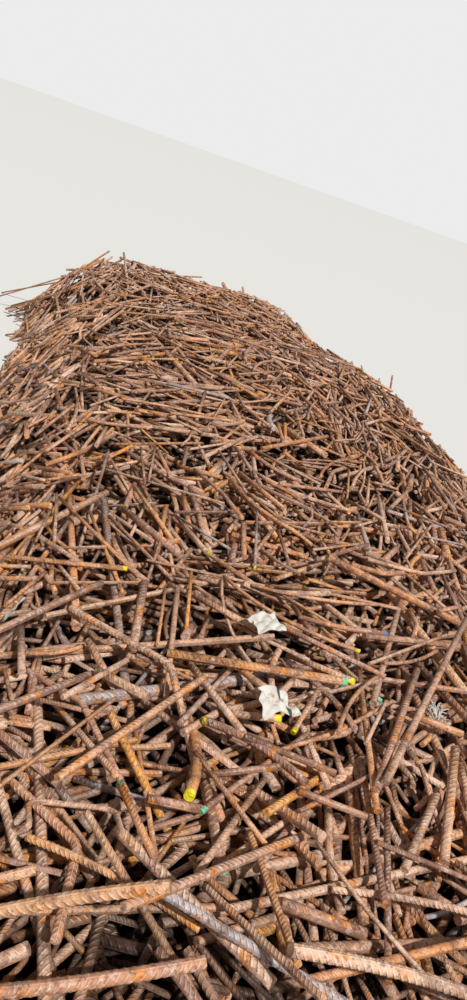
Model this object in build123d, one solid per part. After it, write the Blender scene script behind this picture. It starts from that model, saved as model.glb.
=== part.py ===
from build123d import *
import math
import os
import random

import numpy as np

# A heap of cut reinforcing bars, as it lies on level ground after it was tipped. Millimetres, +Z up.
# The long side of the heap runs along Y, with its near end at -Y, and the origin is on the ground
# under the middle of the heap. A plain core of three mounds stands for the bars that the outer ones
# hide. The bars are let down on it one after another, each until it rests on what is under it.

# Mounds of the core: centre, turn to the left in degrees, and how far each reaches on the ground
NEAR_MOUND_X = 20.0
NEAR_MOUND_Y = -1900.0
NEAR_MOUND_TURN = -4.0
NEAR_MOUND_HALF_WIDTH = 1610.0
NEAR_MOUND_HALF_LENGTH = 2150.0
MIDDLE_MOUND_X = 60.0
MIDDLE_MOUND_Y = 350.0
MIDDLE_MOUND_TURN = 3.0
MIDDLE_MOUND_HALF_WIDTH = 1670.0
MIDDLE_MOUND_HALF_LENGTH = 2300.0
FAR_MOUND_X = -260.0
FAR_MOUND_Y = 2250.0
FAR_MOUND_TURN = 10.0
FAR_MOUND_HALF_WIDTH = 1420.0
FAR_MOUND_HALF_LENGTH = 1700.0

# Profile of a mound, from the ground up, and how boxy its plan is: 1 is a rectangle, 2 an ellipse
FLANK_SLOPE = 50.0
SHOULDER_SLOPE = 33.0
SHOULDER_HEIGHT = 440.0
CROWN_SLOPE = 6.0
CROWN_HEIGHT = 570.0
PLAN_SIDES = 12
PLAN_ROUNDNESS = 1.35

# Bars, with six flat sides instead of a round, so that hundreds of them stay light
SECTION_SIDES = 6
CLEARANCE = 0.3
LOOSEST_SEAT = 0.9
BEND_TO_DIAMETER = 2.5
DIAMETERS = (12.0, 16.0, 20.0, 25.0, 32.0)
DIAMETER_SHARES = (3, 7, 7, 4, 1)
SHORTEST_BAR = 350.0
LONGEST_BAR = 1150.0
SHORTEST_BENT_TO_DIAMETER = 20.0
HOOK_TURN = 125.0
HOOK_TIP_TO_DIAMETER = 8.0

# How many of each kind lie loose on the heap, and where on its mound each stretch of them lies,
# as shares of the mound's half length from its middle
NEAR_STRAIGHT_BARS = 175
MIDDLE_STRAIGHT_BARS = 142
FAR_STRAIGHT_BARS = 138
BENT_BARS = {"bowed": 6, "kinked": 9, "l_shaped": 3, "u_shaped": 1, "hooked": 1, "cranked": 2}
NEAR_STRETCH = (-1.0, 0.36)
MIDDLE_STRETCH = (-0.64, 0.46)
FAR_STRETCH = (-0.47, 1.0)

# How the loose bars are laid. On the right of the near and middle mounds they lie mostly lengthwise.
SEED = 11
TRIES = 10
MOST_PROUD = 130.0
STRAY_PROUD = 260.0
STRAY_EVERY = 9
PLACE_JITTER = 60.0
OUTWARD_CROWDING = 0.85
LENGTHWISE_FROM_X = 250.0
LENGTHWISE_HEADING = 78.0
LENGTHWISE_SPREAD = 28.0
SAMPLE_SPACING = 5.0
EDGE_SPACING = 2.0
CHORD_ERROR = 0.15
SETTLING_ROUNDS = 3
NARROWEST_BASE_TO_DIAMETER = 4.0

# Bars that lie on top of the others: kind, diameter, length, x, y of the middle and heading in degrees
TOP_BARS = (
    ("straight", 25, 730, 80, -2950, 8),
    ("straight", 20, 770, 10, -3000, 13),
    ("straight", 20, 420, -320, -2940, 29),
    ("straight", 20, 870, -160, -2870, 20),
    ("straight", 16, 450, -670, -3010, 7),
    ("straight", 25, 410, -30, -2760, 22),
    ("bowed", 16, 410, -20, -2930, 161),
    ("straight", 16, 420, -100, -2740, 83),
    ("straight", 20, 330, -320, -2720, 120),
    ("straight", 16, 350, -280, -2750, 54),
    ("straight", 16, 400, -410, -2840, 37),
    ("kinked", 20, 430, -780, -2900, 85),
    ("bowed", 16, 370, -670, -2960, 148),
    ("straight", 16, 370, -620, -3000, 135),
    ("straight", 25, 420, -530, -2990, 132),
    ("straight", 20, 410, -430, -3090, 154),
    ("straight", 16, 340, -370, -2960, 96),
    ("straight", 16, 350, -420, -3080, 116),
    ("straight", 20, 490, -470, -2940, 36),
    ("bowed", 25, 720, -30, -3120, 169),
    ("bowed", 25, 730, -920, -3080, 177),
    ("bowed", 25, 780, -880, -3170, 1),
    ("straight", 16, 400, -960, -2540, 121),
    ("straight", 20, 470, -930, -2190, 52),
    ("straight", 16, 420, -570, -2220, 89),
    ("straight", 12, 370, -490, -2340, 0),
    ("straight", 16, 360, -800, -2660, 28),
    ("kinked", 20, 710, -620, -2400, 112),
    ("straight", 16, 480, -790, -2550, 116),
    ("kinked", 16, 550, -770, -2550, 116),
    ("straight", 20, 290, -630, -2660, 127),
    ("straight", 20, 370, -420, -2420, 50),
    ("straight", 20, 500, -650, -2580, 51),
    ("straight", 25, 240, -310, -2750, 119),
    ("straight", 20, 290, -270, -2690, 46),
    ("straight", 12, 270, -170, -2670, 36),
    ("straight", 16, 780, 70, -2210, 178),
    ("l_shaped", 16, 500, -250, -2450, 96),
    ("straight", 16, 610, -50, -2420, 82),
    ("straight", 20, 570, 40, -2420, 63),
    ("straight", 20, 1030, 200, -2230, 58),
    ("straight", 20, 750, 130, -2010, 67),
    ("straight", 25, 620, 230, -1740, 1),
    ("straight", 25, 560, -990, -1630, 53),
    ("straight", 20, 520, -380, 150, -50),
    ("hooked", 12, 520, 620, -2700, 150),
    ("u_shaped", 12, 420, -760, -2820, 95),
)


class Mound:
    """A convex mound over an oval plan, bounded by planes that get flatter tier by tier."""

    def __init__(self, x, y, turn, half_width, half_length):
        self.x, self.y, self.turn = x, y, turn
        self.half_width, self.half_length = half_width, half_length
        tiers = ((SHOULDER_SLOPE, SHOULDER_HEIGHT), (CROWN_SLOPE, CROWN_HEIGHT))
        # Each row is height = c - a * x - b * y over the mound's centre
        rows = []
        for side in range(PLAN_SIDES):
            angle = 2 * math.pi * side / PLAN_SIDES
            out = (half_width * abs(math.cos(angle)), half_length * abs(math.sin(angle)))
            reach = (out[0] ** PLAN_ROUNDNESS + out[1] ** PLAN_ROUNDNESS) ** (1 / PLAN_ROUNDNESS)
            angle += math.radians(turn)
            steep, height = math.tan(math.radians(FLANK_SLOPE)), 0.0
            rows.append((steep * math.cos(angle), steep * math.sin(angle), steep * reach))
            for slope, start in tiers:
                reach -= (start - height) / steep
                steep, height = math.tan(math.radians(slope)), start
                rows.append((steep * math.cos(angle), steep * math.sin(angle), height + steep * reach))
        self.rows = np.array(rows)

    def spot(self, across, along):
        """Place in plan of a point given as shares of the half width and the half length."""
        turn = math.radians(self.turn)
        x, y = across * self.half_width, along * self.half_length
        return (
            self.x + x * math.cos(turn) - y * math.sin(turn),
            self.y + x * math.sin(turn) + y * math.cos(turn),
        )

    def heights(self, spots, radius=0.0):
        """Height at which the centre of a ball of that radius touches the mound, for each spot."""
        a, b, c = self.rows.T
        over = c - np.outer(spots[:, 0] - self.x, a) - np.outer(spots[:, 1] - self.y, b)
        return (over + radius * np.sqrt(1 + a * a + b * b)).min(axis=1)

    def solid(self):
        """The mound as a block cut off by each of its planes."""
        peak = CROWN_HEIGHT + self.half_width * math.tan(math.radians(CROWN_SLOPE))
        on_floor = (Align.CENTER, Align.CENTER, Align.MIN)
        block = Box(2 * self.half_width, 2 * self.half_length, peak, align=on_floor)
        block = Pos(self.x, self.y, 0) * Rot(0, 0, self.turn) * block
        for a, b, c in self.rows:
            plane = Plane(origin=(self.x, self.y, c), z_dir=(a, b, 1))
            block = split(block, bisect_by=plane, keep=Keep.BOTTOM)
        return block


class Skin:
    """The flat-sided outside of a laid bar, from the corners of its section all along it."""

    def __init__(self, rings):
        ends = rings[[0, -1]]
        self.corners = rings.reshape(-1, 3)
        self.low, self.high = self.corners.min(axis=0), self.corners.max(axis=0)
        self.starts = np.vstack((rings[:-1].reshape(-1, 3), ends.reshape(-1, 3)))
        self.ends = np.vstack((rings[1:].reshape(-1, 3), np.roll(ends, -1, axis=1).reshape(-1, 3)))
        # One block for each run of the centre line, as planes that point outwards
        first, last = rings[:-1], rings[1:]
        across, along = np.roll(first, -1, axis=1) - first, last - first
        middle = ((first + last) / 2).mean(axis=1, keepdims=True)
        sides = np.cross(across, along)
        sides *= np.sign((sides * (first - middle)).sum(axis=2, keepdims=True))
        run = along.mean(axis=1, keepdims=True)
        self.normals = np.concatenate((sides, run, -run), axis=1)
        points = np.concatenate((first, last[:, :1], first[:, :1]), axis=1)
        self.offsets = (self.normals * points).sum(axis=2)


def reach_of_blocks(spots, normals, offsets):
    """Lowest and highest point of each block on the vertical line at each spot; crossed if it misses."""
    level = offsets - np.tensordot(spots[:, :2], normals[..., :2], axes=(1, 2))
    facing_down = normals[..., 2] < 0
    with np.errstate(divide="ignore", invalid="ignore"):
        heights = level / np.where(facing_down, normals[..., 2], abs(normals[..., 2]))
    low = np.where(facing_down, heights, -np.inf).max(axis=2)
    high = np.where(facing_down, np.inf, heights).min(axis=2)
    return low, high


def room_at_crossings(upper, lower):
    """How far the edges of one skin pass over those of another where they cross in plan."""
    u, v = (upper.ends - upper.starts)[:, None], (lower.ends - lower.starts)[None]
    gap = lower.starts[None] - upper.starts[:, None]
    with np.errstate(divide="ignore", invalid="ignore"):
        cross = u[..., 0] * v[..., 1] - u[..., 1] * v[..., 0]
        s = (gap[..., 0] * v[..., 1] - gap[..., 1] * v[..., 0]) / cross
        t = (gap[..., 0] * u[..., 1] - gap[..., 1] * u[..., 0]) / cross
        over = s * u[..., 2] - t * v[..., 2] - gap[..., 2]
        return over[(s >= 0) & (s <= 1) & (t >= 0) & (t <= 1)]


def room_between(upper, lower):
    """How far one skin can go straight down before it meets another that is under it."""
    room = [room_at_crossings(upper, lower)]
    low, high = reach_of_blocks(upper.corners, lower.normals, lower.offsets)
    room.append((upper.corners[:, 2:] - high)[low <= high])
    low, high = reach_of_blocks(lower.corners, upper.normals, upper.offsets)
    room.append((low - lower.corners[:, 2:])[low <= high])
    return np.concatenate(room).min(initial=np.inf)


class Pile:
    """What has been laid so far: the mounds, and the bars as round-ended rods and as flat-sided skins."""

    def __init__(self, mounds):
        self.mounds = mounds
        self.starts, self.ends = np.empty((0, 3)), np.empty((0, 3))
        self.radii = np.empty(0)
        self.skins = []

    def add(self, bar):
        line = bar.laid(bar.line)
        self.starts = np.vstack((self.starts, line[:-1]))
        self.ends = np.vstack((self.ends, line[1:]))
        self.radii = np.append(self.radii, np.full(len(line) - 1, bar.radius))
        self.skins.append(Skin(bar.rings()))

    def room_under(self, skin):
        """How far the bar in that skin can go straight down before it meets the core or a bar."""
        edges = zip(skin.starts, skin.ends)
        spots = np.vstack([spaced(np.array(edge), EDGE_SPACING) for edge in edges])
        room = (spots[:, 2] - self.core_heights(spots)).min()
        for other in self.skins:
            if (other.low[:2] < skin.high[:2]).all() and (other.high[:2] > skin.low[:2]).all():
                room = min(room, room_between(skin, other))
        return room

    def core_heights(self, spots):
        """Height of the core at each spot, below the ground where the spot is beside it."""
        return np.max([mound.heights(spots) for mound in self.mounds], axis=0)

    def heights(self, spots, radius):
        """Lowest height at which a ball of that radius clears everything, for each spot in plan."""
        found = np.full(len(spots), radius)
        for mound in self.mounds:
            found = np.maximum(found, mound.heights(spots, radius + CLEARANCE))
        reach = self.radii + radius + CLEARANCE
        low = np.minimum(self.starts, self.ends)[:, :2] - reach[:, None]
        high = np.maximum(self.starts, self.ends)[:, :2] + reach[:, None]
        near = ((low < spots.max(axis=0)) & (high > spots.min(axis=0))).all(axis=1)
        if near.any():
            start, end, reach = self.starts[near], self.ends[near], reach[near]
            found = np.maximum(found, rod_tops(spots, start, end, reach).max(axis=1))
        return found


def rod_tops(spots, start, end, reach):
    """Where the vertical line at each spot leaves each round-ended rod at its top, or minus infinity."""
    length = np.linalg.norm(end - start, axis=1)
    along = (end - start) / length[:, None]
    rise = along[:, 2]
    off = spots[:, None, :] - start[None, :, :2]
    ahead = (off * along[None, :, :2]).sum(axis=2)
    level = 1 - rise**2
    inside = (ahead * rise) ** 2 - level * ((off**2).sum(axis=2) - ahead**2 - reach**2)
    up = (ahead * rise + np.sqrt(np.maximum(inside, 0))) / level
    station = ahead + up * rise
    on_side = (inside > 0) & (station > 0) & (station < length)
    tops = np.where(on_side, start[:, 2] + up, -np.inf)
    for ball in (start, end):
        room = reach**2 - ((spots[:, None, :] - ball[None, :, :2]) ** 2).sum(axis=2)
        cap = ball[:, 2] + np.sqrt(np.maximum(room, 0))
        tops = np.where(room > 0, np.maximum(tops, cap), tops)
    return tops


def outline(runs, turns=()):
    """Corners of a flat shape of straight runs, with a turn in degrees between each two of them."""
    corners, heading = [(0.0, 0.0)], 0.0
    for run, turn in zip(runs, (*turns, 0)):
        x, y = corners[-1]
        corners.append((x + run * math.cos(heading), y + run * math.sin(heading)))
        heading += math.radians(turn)
    return corners


def rounded(corners, bend_radius):
    """The centre line through those corners with each one rounded, as closely spaced points."""
    points = [np.array(corners[0])]
    for before, corner, after in zip(corners, corners[1:], corners[2:]):
        corner = np.array(corner)
        back, ahead = np.array(before) - corner, np.array(after) - corner
        back, ahead = back / np.linalg.norm(back), ahead / np.linalg.norm(ahead)
        half_gap = math.acos(np.clip(back @ ahead, -1, 1)) / 2
        middle = (back + ahead) / np.linalg.norm(back + ahead)
        centre = corner + middle * bend_radius / math.sin(half_gap)
        cut = bend_radius / math.tan(half_gap)
        first, last = corner + back * cut - centre, corner + ahead * cut - centre
        turn = math.pi - 2 * half_gap
        finest = 2 * math.acos(1 - CHORD_ERROR / bend_radius)
        for step in np.linspace(0, 1, max(2, math.ceil(turn / finest)) + 1):
            blend = math.sin((1 - step) * turn) * first + math.sin(step * turn) * last
            points.append(centre + blend / math.sin(turn))
    points.append(np.array(corners[-1]))
    return np.array(points)


def spaced(line, spacing):
    """More points on a line, none further apart than the spacing."""
    found = [line[:1]]
    for a, b in zip(line, line[1:]):
        count = max(1, math.ceil(np.linalg.norm(b - a) / spacing))
        found.append(a + (b - a) * np.arange(1, count + 1)[:, None] / count)
    return np.vstack(found)


def rest_slope(stations, needed):
    """Slope of the line that rests on the needed heights with a support on each side of station 0."""
    left, right = stations < 0, stations > 0
    s1, h1 = stations[left][:, None], needed[left][:, None]
    s2, h2 = stations[right][None, :], needed[right][None, :]
    over = (h1 * s2 - h2 * s1) / (s2 - s1)
    i, j = np.unravel_index(over.argmax(), over.shape)
    return (h2[0, j] - h1[i, 0]) / (s2[0, j] - s1[i, 0])


def turned(heading, pitch, roll):
    """Rotation matrix of a bar whose own X points along the heading and rises with the pitch."""
    ch, sh, cp, sp = math.cos(heading), math.sin(heading), math.cos(pitch), math.sin(pitch)
    cr, sr = math.cos(roll), math.sin(roll)
    about_z = np.array([[ch, -sh, 0], [sh, ch, 0], [0, 0, 1]])
    about_y = np.array([[cp, 0, -sp], [0, 1, 0], [sp, 0, cp]])
    about_x = np.array([[1, 0, 0], [0, cr, -sr], [0, sr, cr]])
    return about_z @ about_y @ about_x


class Bar:
    """A bar of some flat shape, let down on the pile until it rests there."""

    def __init__(self, kind, corners, diameter, bend_radius=None):
        self.kind, self.diameter, self.radius = kind, diameter, diameter / 2
        self.stretch = "near"
        self.bend_radius = bend_radius or BEND_TO_DIAMETER * diameter
        line = rounded(corners, self.bend_radius)
        samples = spaced(line, SAMPLE_SPACING)
        centre = samples.mean(axis=0)
        self.corners, self.line, self.samples = (
            np.column_stack((np.array(points) - centre, np.zeros(len(points))))
            for points in (corners, line, samples)
        )

    def settle(self, pile, x, y, heading):
        """Rocks the bar lengthwise and sideways until it rests at that place."""
        heading = math.radians(heading)
        pitch = roll = 0.0
        for _ in range(SETTLING_ROUNDS):
            for axis in (0, 1):
                stations = self.samples[:, axis]
                if np.ptp(stations) < NARROWEST_BASE_TO_DIAMETER * self.diameter:
                    continue
                spots = self.samples @ turned(heading, pitch, roll).T + (x, y, 0)
                needed = pile.heights(spots[:, :2], self.radius) - spots[:, 2]
                change = math.atan(rest_slope(stations, needed))
                pitch, roll = (pitch + change, roll) if axis == 0 else (pitch, roll + change)
        self.turn = turned(heading, pitch, roll)
        spots = self.samples @ self.turn.T + (x, y, 0)
        rise = (pile.heights(spots[:, :2], self.radius) - spots[:, 2]).max()
        self.place = np.array((x, y, rise))

    def seat(self, pile):
        """Lets the settled bar down by what its flats lack to a full round, and says if the heap holds it."""
        skin = Skin(self.rings())
        room = pile.room_under(skin)
        drop = min(room - CLEARANCE, skin.low[2])
        self.place[2] -= drop
        return room - drop < LOOSEST_SEAT

    def proud(self, pile):
        """How far the highest part of the bar stands over the core or the ground under it."""
        laid = self.laid(self.samples)
        return (laid[:, 2] - np.maximum(pile.core_heights(laid[:, :2]), 0)).max()

    def laid(self, points):
        return points @ self.turn.T + self.place

    def rings(self):
        """Corners of the section at each point of the laid centre line, the first corner facing up."""
        runs = np.diff(self.line, axis=0)
        runs /= np.linalg.norm(runs, axis=1)[:, None]
        ahead = np.vstack((runs[:1], runs[:-1] + runs[1:], runs[-1:]))
        ahead /= np.linalg.norm(ahead, axis=1)[:, None]
        aside = np.column_stack((-ahead[:, 1], ahead[:, 0], np.zeros(len(ahead))))
        angles = 2 * np.pi * np.arange(SECTION_SIDES) / SECTION_SIDES
        up = np.cos(angles)[:, None] * (0, 0, 1)
        section = up[None] + np.sin(angles)[None, :, None] * aside[:, None]
        return self.laid(self.line[:, None] + self.radius * section)

    def node(self):
        """Name of the node that the bar goes in: its kind, and where and how thick a straight one is."""
        if self.kind != "straight":
            return f"{self.kind}_bars"
        return f"{self.stretch}_straight_bars_{self.diameter:.0f}mm"

    def solid(self):
        """The bar with a flat-sided section, one corner of it facing up."""
        corners = [tuple(p) for p in self.laid(self.corners)]
        ahead = Vector(*corners[1]) - Vector(*corners[0])
        start = Plane(origin=corners[0], x_dir=tuple(self.turn[:, 2]), z_dir=ahead)
        section = start * RegularPolygon(self.radius, SECTION_SIDES)
        if len(corners) == 2:
            return extrude(section, ahead.length)
        return sweep(section, FilletPolyline(*corners, radius=self.bend_radius))


def cut_bar(kind, diameter, length, dice):
    """A bar of that kind, where length is measured along it and the dice choose its bends."""
    if kind == "straight":
        return Bar(kind, outline([length]), diameter)
    length = max(length, SHORTEST_BENT_TO_DIAMETER * diameter)
    if kind == "bowed":
        turn = dice.uniform(10, 24)
        longest_arc = 0.9 * length / 2 / math.tan(math.radians(turn / 2))
        return Bar(kind, outline([length / 2, length / 2], [turn]), diameter, longest_arc)
    if kind == "kinked":
        run = dice.uniform(0.35, 0.65) * length
        return Bar(kind, outline([run, length - run], [dice.uniform(20, 55)]), diameter)
    if kind == "l_shaped":
        leg = dice.uniform(0.3, 0.45) * length
        return Bar(kind, outline([length - leg, leg], [90]), diameter)
    if kind == "hooked":
        bend = BEND_TO_DIAMETER * math.tan(math.radians(HOOK_TURN / 2))
        leg = (HOOK_TIP_TO_DIAMETER + bend) * diameter
        return Bar(kind, outline([length - leg, leg], [HOOK_TURN]), diameter)
    if kind == "cranked":
        run = dice.uniform(0.25, 0.35) * length
        return Bar(kind, outline([run, length - 2 * run, run], [40, -40]), diameter)
    leg = dice.uniform(0.28, 0.36) * length
    return Bar(kind, outline([leg, length - 2 * leg, leg], [90, 90]), diameter)


def loose_bars(mounds):
    """The bars that are laid at random, each with the mound it lies on and its place there."""
    dice = random.Random(SEED)
    near, middle, far = mounds
    loose = []
    for stretch, mound, count, (first, last) in (
        ("near", near, NEAR_STRAIGHT_BARS, NEAR_STRETCH),
        ("middle", middle, MIDDLE_STRAIGHT_BARS, MIDDLE_STRETCH),
        ("far", far, FAR_STRAIGHT_BARS, FAR_STRETCH),
    ):
        kinds = ["straight"] * count
        for kind, total in BENT_BARS.items():
            share = (total + ("far", "middle", "near").index(stretch)) // 3
            kinds += [kind] * share
        for kind, place in zip(kinds, scattered_places(first, last)):
            diameter = dice.choices(DIAMETERS, DIAMETER_SHARES)[0]
            bar = cut_bar(kind, diameter, dice.uniform(SHORTEST_BAR, LONGEST_BAR), dice)
            bar.stretch = stretch
            loose.append((bar, mound, place))
    dice.shuffle(loose)
    return loose


def scattered_places(first, last):
    """Places on a mound in shares of its half width and half length, each in the widest gap so far."""
    ratio = 1.32471795724474602596
    power = PLAN_ROUNDNESS / (PLAN_ROUNDNESS - 1)
    count = 0
    while True:
        count += 1
        across = 2 * (count / ratio % 1) - 1
        along = first + (last - first) * (count / ratio**2 % 1)
        out = (abs(across) ** power + abs(along) ** power) ** (1 / power)
        if out < 1:
            push = out ** (OUTWARD_CROWDING - 1)
            yield across * push, along


def lay_loose_bars(pile, bars):
    """Lays each loose bar near its place, at the first try that leaves it low enough and held."""
    for count, (bar, mound, (across, along)) in enumerate(loose_bars(pile.mounds)):
        dice = random.Random(SEED + count)
        limit = MOST_PROUD if count % STRAY_EVERY else STRAY_PROUD
        spot_x, spot_y = mound.spot(across, along)
        lengthwise = spot_x > LENGTHWISE_FROM_X and bar.stretch != "far"
        best = math.inf
        for _ in range(TRIES):
            x = dice.gauss(spot_x, PLACE_JITTER)
            y = dice.gauss(spot_y, PLACE_JITTER)
            heading = dice.uniform(0, 180)
            if lengthwise:
                heading = dice.gauss(LENGTHWISE_HEADING, LENGTHWISE_SPREAD)
            bar.settle(pile, x, y, heading)
            held, proud = bar.seat(pile), bar.proud(pile)
            if held and proud < best:
                best, lowest = proud, (bar.turn, bar.place)
            if best < limit:
                break
        bar.turn, bar.place = lowest
        pile.add(bar)
        bars.append(bar)


def lay_top_bars(pile, bars):
    dice = random.Random(SEED)
    for kind, diameter, length, x, y, heading in TOP_BARS:
        bar = cut_bar(kind, diameter, length, dice)
        bar.settle(pile, x, y, heading)
        bar.seat(pile)
        pile.add(bar)
        bars.append(bar)


def main():
    near = (NEAR_MOUND_X, NEAR_MOUND_Y, NEAR_MOUND_TURN, NEAR_MOUND_HALF_WIDTH, NEAR_MOUND_HALF_LENGTH)
    middle = (
        MIDDLE_MOUND_X,
        MIDDLE_MOUND_Y,
        MIDDLE_MOUND_TURN,
        MIDDLE_MOUND_HALF_WIDTH,
        MIDDLE_MOUND_HALF_LENGTH,
    )
    far = (FAR_MOUND_X, FAR_MOUND_Y, FAR_MOUND_TURN, FAR_MOUND_HALF_WIDTH, FAR_MOUND_HALF_LENGTH)
    mounds = [Mound(*near), Mound(*middle), Mound(*far)]
    pile, bars = Pile(mounds), []
    lay_loose_bars(pile, bars)
    lay_top_bars(pile, bars)
    nodes = {}
    for bar in bars:
        nodes.setdefault(bar.node(), []).append(bar.solid())
    os.makedirs("parts", exist_ok=True)
    core = mounds[0].solid() + mounds[1].solid() + mounds[2].solid()
    export_step(core, "parts/packed_core.step")
    for name, solids in nodes.items():
        export_step(Compound(solids), f"parts/{name}.step")
    print(f"{len(bars)} bars in {len(nodes)} nodes")


main()
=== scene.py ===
import math
from collections import namedtuple

import bpy
import numpy as np
from mathutils import Matrix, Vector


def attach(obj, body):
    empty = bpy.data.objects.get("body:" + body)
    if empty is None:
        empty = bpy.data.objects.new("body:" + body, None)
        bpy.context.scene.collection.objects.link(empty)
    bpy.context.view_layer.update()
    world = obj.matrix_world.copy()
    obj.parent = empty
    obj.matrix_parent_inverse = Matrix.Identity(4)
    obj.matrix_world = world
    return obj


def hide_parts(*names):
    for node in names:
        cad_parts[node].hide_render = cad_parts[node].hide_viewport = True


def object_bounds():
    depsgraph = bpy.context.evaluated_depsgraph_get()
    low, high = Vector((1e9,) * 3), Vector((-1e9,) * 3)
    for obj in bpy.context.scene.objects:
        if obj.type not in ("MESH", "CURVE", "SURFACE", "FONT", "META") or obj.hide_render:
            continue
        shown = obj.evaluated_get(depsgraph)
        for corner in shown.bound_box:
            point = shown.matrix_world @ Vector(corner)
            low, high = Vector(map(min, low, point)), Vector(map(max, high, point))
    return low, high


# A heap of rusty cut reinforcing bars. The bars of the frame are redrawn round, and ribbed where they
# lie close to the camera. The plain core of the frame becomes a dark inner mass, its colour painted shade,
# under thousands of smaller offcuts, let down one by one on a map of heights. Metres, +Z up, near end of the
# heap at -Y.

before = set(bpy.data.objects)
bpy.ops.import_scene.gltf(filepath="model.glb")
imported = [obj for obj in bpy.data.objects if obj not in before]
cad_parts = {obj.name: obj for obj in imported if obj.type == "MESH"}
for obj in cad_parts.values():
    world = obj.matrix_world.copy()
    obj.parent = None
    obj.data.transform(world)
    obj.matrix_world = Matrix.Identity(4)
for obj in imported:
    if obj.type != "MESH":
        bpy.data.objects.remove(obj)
cad_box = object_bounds()

STRAIGHT_NODES = sorted(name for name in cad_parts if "_straight_bars_" in name)
BENT_NODES = sorted(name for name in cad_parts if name.endswith("_bars"))
CORE_NODE = "packed_core"

# Corners of a bent bar this share of its radius under the highest one still belong to its top line
TOP_LINE_SLACK = 0.02

# Camera, over the near end of the heap and rolled to one side: metres, degrees, millimetres of lens
CAMERA_PLACE = (-0.9, -3.9, 2.0)
CAMERA_HEADING = 12.0
CAMERA_PITCH = -24.7
CAMERA_ROLL = 20.0
CAMERA_LENS = 27.2
CAMERA_CLIP = 0.05

# Floor and light: the surroundings have one strength as a light and another where the camera sees them
FLOOR_REACH = 60.0
FLOOR_COLOUR = (222, 220, 215)
SUN_ENERGY = 3.6
SUN_WIDTH = math.radians(3)
SUN_TURN = (math.radians(37), 0, math.radians(25))
SURROUNDINGS_COLOUR = (236, 236, 236)
SURROUNDINGS_AS_LIGHT = 0.25
SURROUNDINGS_AS_SEEN = 1.0

# Sides of the round tubes, how near to the camera a bar has its ribs in the mesh, and the sine of the
# angle between its ends below which a line counts as straight
NEAR_SIDES = 12
FAR_SIDES = 10
NEAR_OFFCUT_SIDES = 8
OFFCUT_SIDES = 6
NEAR_STRETCHES = ("front", "near")
RIBBED_WITHIN = 2.0
STRAIGHT_BELOW = 1e-3

# Ribs: within each pitch, their foot and crest lie at these shares. They fade out with this power of
# |sin(angle)| towards the two lengthwise ribs, the seams, whose height is a share of theirs.
RIB_PITCH_TO_DIAMETER = 0.62
RIB_HEIGHT_TO_RADIUS = 0.075
RIB_SLANT = math.radians(38)
RIB_FOOT = 0.52
RIB_CREST = 0.76
RIB_FADE = 0.6
SEAM_FROM_COSINE = 0.99
SEAM_HEIGHT = 0.75
PLAIN_ENDS_TO_LEAN = 2.2
BUMP_CREST_FALL = (0.24, 0.06)
BUMP_SEAM_RISE = (0.975, 0.995)
BUMP_SEAM_HEIGHT = 0.8
BAR_RIB_DEPTH = 0.0014
OFFCUT_RIB_DEPTH = 0.0012
GRIT_DEPTH = 0.0012

# Map of heights on which offcuts are let down: its cells, the blocks of cells of the coarser map, how
# closely a bar is drawn on it, and where beside its middle line a bar is felt for
CELL = 0.006
TOPS_BLOCK = 6
RUN_STEPS_PER_CELL = 1.4
RUN_STRIP_TO_CELL = 0.8
FLANK_TO_RADIUS = 0.75
TINY = 1e-9

# Inner mass: its depth under the core's surface, with a recess near the foot of the heap, the cells
# between its grid points, its least height, the height from which it counts as there, and its base
SHELL_DEPTH = 0.09
FOOT_RECESS = 0.12
RECESS_BELOW = 0.4
INNER_CELLS = 14
INNER_LEAST = 0.004
INNER_USED_FROM = 0.0041
INNER_BASE = 0.001

# Small offcuts: the core's height from which it counts as there, how high they may reach over it, how
# many are laid at the foot, and how often each is tried
HEAP_SEED = 5
CORE_FROM = 0.01
CLEAR_OF_FOOT = 0.1
FOOT_HEIGHT = 0.09
FOOT_REACH = 0.17
FOOT_OFFCUTS = 1300
TOP_LAYER = 0.15
EDGE_MARGIN = 0.02
PLACES_TRIED = 4
TRIES_PER_OFFCUT = 4
PROBES = 9
OFFCUT_DIAMETERS = np.array((0.010, 0.012, 0.016, 0.020, 0.025, 0.032))
OFFCUT_SHARES = np.array((0.09, 0.22, 0.31, 0.25, 0.11, 0.02))

# How offcuts of a batch lie: the share of its radius that each wedges in, their least and greatest length,
# and how many lean steeply. Of those, one end sinks by a share of half the length, and the other rises by
# a share of that.
Laying = namedtuple("Laying", "sink shortest longest steep_share")
AT_THE_FOOT = Laying(0.4, 0.12, 0.40, 0.20)
BURIED = Laying(1.3, 0.12, 0.45, 0.25)
ON_TOP = Laying(0.4, 0.15, 0.50, 0.40)
STEEP_LEANS = (0.4, 1.0)
STEEP_RISE = 0.5

# Most offcuts on the right of the near part lie lengthwise: mean and spread of their heading
LENGTHWISE_FROM_X = 0.2
LENGTHWISE_TO_Y = 1.4
LENGTHWISE_SHARE = 0.6
LENGTHWISE_HEADING = (math.radians(78), math.radians(25))

# Stretches of the heap along Y, each with how many offcuts lie in it, how far these reach over the
# core's surface, and how many more lie on top
STRETCHES = (
    ("front", -4.2, -2.2, 4200, 0.08, 700),
    ("near", -2.2, -0.9, 3000, 0.06, 600),
    ("middle", -0.9, 1.4, 2800, 0.02, 1100),
    ("far", 1.4, 4.2, 2400, 0.0, 900),
)

# Shapes of offcuts: straight, bowed level and kinked level, with the sag as a share of the length
STRAIGHT, BOWED, KINKED = range(3)
BENT_SHARE = 0.22
SAG_SHARES = (0.03, 0.12)
BOW_SHARES = np.linspace(0, 1, 7)
KINK_SHARES = np.array((0, 0.42, 0.46, 0.5, 0.54, 0.58, 1.0))
KINK_ROUNDING = 0.1

# Shade deep among the bars: where it starts and how far down it is full, and its least share at the foot
SHADE_STARTS = 0.04
SHADE_DEPTH = 0.10
LEAST_INSIDE = 0.3

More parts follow.
